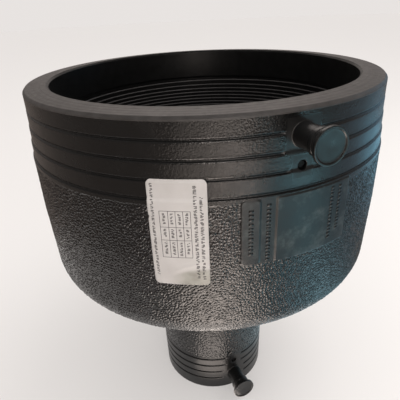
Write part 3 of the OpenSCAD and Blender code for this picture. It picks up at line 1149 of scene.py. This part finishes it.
for node in ("link_wire", "large_lead_wire", "small_lead_wire"):
    dress(node, wire)
for node in ("large_terminal_pin", "small_terminal_pin"):
    dress(node, brass)
for node in ("large_fusion_indicator", "small_fusion_indicator"):
    dress(node, indicator)

# ---------------------------------------------------------------- floor, light and camera


def make_floor():
    """A plain pale floor that glows: painted light that fills in the object's shadow on it, stronger
    near the camera's right.
    """
    bpy.ops.mesh.primitive_circle_add(vertices=96, radius=6, fill_type="NGON", location=(0, 0, 0))
    floor = bpy.context.object
    floor.name = "floor"
    s = Shader("floor_painted_glow")
    s.set(Roughness=0.9, Specular_IOR_Level=0.1)
    s.base.inputs["Base Color"].default_value = (0.46, 0.445, 0.435, 1)
    # painted light: the floor's emission lifts the object's shadow and brightens the floor towards the
    # camera's right
    s.base.inputs["Emission Color"].default_value = (1.0, 0.965, 0.945, 1)
    towards = s.add("ShaderNodeVectorMath", operation="DOT_PRODUCT")
    s.link(s.where, towards.inputs[0])
    towards.inputs[1].default_value = seen(53, 1, 0)
    glow = s.mix(towards.outputs["Value"], -0.1, 0.25, 0.31, 0.43)
    s.link(glow, s.base.inputs["Emission Strength"])
    floor.data.materials.append(s.material)


def seen(angle, distance, height):
    """A place around the object: 0 is the camera's side, 90 its right, 180 behind the object."""
    turn = math.radians(angle) + CAMERA_TURN
    return (distance * math.sin(turn), -distance * math.cos(turn), height)


def make_area(name, size, radiance, colour, place, aim, only_glossy=False):
    """A soft rectangular light of that brightness at a place, turned to shine at aim, in metres."""
    data = bpy.data.lights.new(name, "AREA")
    data.shape = "RECTANGLE"
    data.size, data.size_y = size
    data.energy = radiance * math.pi * size[0] * size[1]
    data.color = colour
    lamp = add_object(name, data)
    lamp.location = place
    lamp.rotation_euler = (Vector(aim) - Vector(place)).to_track_quat("-Z", "Y").to_euler()
    lamp.visible_camera = False
    lamp.visible_diffuse = not only_glossy
    return lamp


def make_floor_card(name, left, right, near, far, radiance, colour, height):
    """A panel that lies on the floor and is seen only in reflections on the object.

    left and right are measured across the camera's view, near and far towards the camera.
    """
    turn = Matrix.Rotation(CAMERA_TURN, 3, "Z")
    place = turn @ Vector(((left + right) / 2, -(near + far) / 2, height))
    lamp = make_area(name, (right - left, far - near), radiance, colour, place, (0, 0, 0), True)
    lamp.rotation_euler = (math.pi, 0, CAMERA_TURN)


def make_flag(name, hole, shift, far, grey):
    """A dark sheet on the floor, seen only in reflections, with a hole shifted to the camera's left:
    painted shade, standing for the dark room around the object in its reflections.
    """
    sides = 64
    turn = once_round(sides)
    circle = np.stack([np.cos(turn), np.sin(turn), 0 * turn], -1)
    points = np.concatenate([circle * hole - seen(90, shift, 0), circle * far]) + (0, 0, 0.001)
    inner, outer = np.arange(sides), np.arange(sides) + sides
    faces = np.stack([inner, outer, np.roll(outer, -1), np.roll(inner, -1)], -1)
    mesh = bpy.data.meshes.new(name)
    mesh.from_pydata(points.tolist(), [], faces.tolist())
    s = Shader(name + "_painted_shade")
    s.set(Roughness=1.0, Specular_IOR_Level=0.0)
    # painted shade: a dull grey sheet that only glossy rays see, darkening the floor's reflection in the
    # plastic
    s.base.inputs["Base Color"].default_value = (grey, 0.85 * grey, 0.76 * grey, 1)
    mesh.materials.append(s.material)
    flag = add_object(name, mesh)
    for ray in ("camera", "diffuse", "shadow", "transmission"):
        setattr(flag, "visible_" + ray, False)


# the sky in reflections, as (sine of the height above the horizon, brightness)
REFLECTED_SKY = [(0.0, 0.14), (0.1, 0.22), (0.25, 0.3), (0.5, 0.22), (0.75, 0.1), (1.0, 0.08)]


def make_world():
    """Light from above, a room that is dark in reflections, and a pale wall behind the object."""
    world = bpy.data.worlds.new("world")
    bpy.context.scene.world = world
    world.use_nodes = True
    sky = Nodes(world.node_tree)
    sky.tree.nodes.clear()
    split = sky.add("ShaderNodeSeparateXYZ")
    sky.link(sky.add("ShaderNodeTexCoord").outputs["Generated"], split.inputs["Vector"])
    climb = split.outputs["Z"]
    dome, room, wall = (sky.add("ShaderNodeBackground") for _ in range(3))
    dome.inputs["Color"].default_value = (1.0, 0.975, 0.96, 1)
    brightness = sky.mix(climb, 0.05, 0.9, 0.12, 1.45, interpolation_type="SMOOTHSTEP")
    sky.link(brightness, dome.inputs["Strength"])
    warm_greys = [(sine, (grey, 0.9 * grey, 0.84 * grey)) for sine, grey in REFLECTED_SKY]
    sky.link(sky.colour(climb, warm_greys), room.inputs["Color"])
    wall.inputs["Color"].default_value = (0.805, 0.77, 0.75, 1)
    ray = sky.add("ShaderNodeLightPath")
    last = dome
    for kind, shown in (("Is Glossy Ray", room), ("Is Camera Ray", wall)):
        choose = sky.add("ShaderNodeMixShader")
        sky.link(ray.outputs[kind], choose.inputs["Fac"])
        sky.link(last.outputs[0], choose.inputs[1])
        sky.link(shown.outputs[0], choose.inputs[2])
        last = choose
    sky.link(last.outputs[0], sky.add("ShaderNodeOutputWorld").inputs["Surface"])


# panels on the floor that show only in reflections, as (name, left, right, near, far,
# brightness, colour, height above the floor)
WARM = (1.0, 0.87, 0.78)
LOW, RAISED = 0.003, 0.006
FLOOR_CARDS = [
    ("warm_foot", -0.03, 0.025, 0.055, 0.09, 3.2, WARM, LOW),
    ("warm_near", -0.03, 0.03, 0.09, 0.16, 0.7, WARM, LOW),
    ("warm_mid", -0.06, 0.08, 0.16, 0.34, 6.0, WARM, LOW),
    ("warm_left", -0.2, 0.05, 0.5, 1.0, 1.6, WARM, LOW),
    ("warm_far", 0.05, 0.35, 0.5, 1.0, 3.6, WARM, LOW),
    ("cool_neck", 0.06, 0.12, -0.05, 0.1, 0.4, (0.2, 0.75, 1.0), LOW),
    ("cool_near", 0.12, 0.32, -0.05, 0.3, 0.3, (0.1, 0.7, 1.0), LOW),
    ("cool_mid", 0.1, 0.3, 0.3, 0.5, 0.45, (0.1, 0.7, 1.0), LOW),
    ("cool_far", 0.3, 0.8, 0.2, 0.6, 0.9, (0.2, 0.82, 1.0), LOW),
    ("cool_side", 0.35, 1.4, -0.9, 0.2, 0.25, (0.03, 0.6, 1.0), LOW),
    ("spark_near", 0.17, 0.25, 0.05, 0.19, 1.7, (0.5, 0.87, 1.0), RAISED),
    ("spark_mid", 0.16, 0.26, 0.34, 0.44, 1.2, (0.6, 0.9, 1.0), RAISED),
    ("spark_far", 0.4, 0.62, 0.3, 0.5, 2.5, (0.5, 0.88, 1.0), RAISED),
    ("spark_side", 0.45, 0.85, -0.55, -0.15, 0.55, (0.2, 0.72, 1.0), RAISED),
]


def make_lights():
    """A soft key and overhead light, and cards whose reflections shape the black plastic."""
    middle = (0, 0, 0.16)
    make_area("key", (0.5, 0.5), 3.0, (1.0, 0.94, 0.9), seen(20, 1.2, 0.9), middle)
    overhead = make_area("overhead", (1.2, 1.2), 2.2, (1.0, 0.97, 0.95), seen(90, 0.7, 1.7), middle)
    overhead.visible_glossy = False
    make_area("low_window", (0.5, 0.2), 12.0, (1.0, 0.88, 0.8), seen(6, 1.5, 0.42), middle, True)
    make_area("back_glow", (3.0, 0.4), 0.35, (1.0, 0.9, 0.84), seen(180, 1.6, 0.6), middle, True)
    make_area("back_high", (1.0, 0.4), 3.0, (1.0, 0.9, 0.84), seen(180, 1.1, 1.3), middle, True)
    make_area("cool_back", (0.9, 1.1), 0.4, (0.1, 0.6, 1.0), seen(125, 1.5, 0.45), middle, True)
    for card in FLOOR_CARDS:
        make_floor_card(*card)
    make_flag("floor_flag", 0.25, 0.1, 5.0, 0.2)


def make_camera():
    """A camera in front of the large rim, left of the terminals, looking down."""
    data = bpy.data.cameras.new("camera")
    data.lens = LENS
    data.sensor_width = 36
    data.clip_start = 0.01
    camera = add_object("camera", data)
    camera.matrix_world = (
        Matrix.Rotation(CAMERA_TURN, 4, "Z")
        @ Matrix.Translation(Vector((0, -CAMERA_BACK, TOTAL_H + CAMERA_ABOVE_RIM)) * MM)
        @ Matrix.Rotation(-CAMERA_YAW, 4, "Z")
        @ Matrix.Rotation(math.pi / 2 - CAMERA_PITCH, 4, "X")
        @ Matrix.Rotation(CAMERA_ROLL, 4, "Z")
    )
    bpy.context.scene.camera = camera


make_floor()
make_world()
make_lights()
make_camera()
bpy.context.scene.view_settings.view_transform = "Standard"
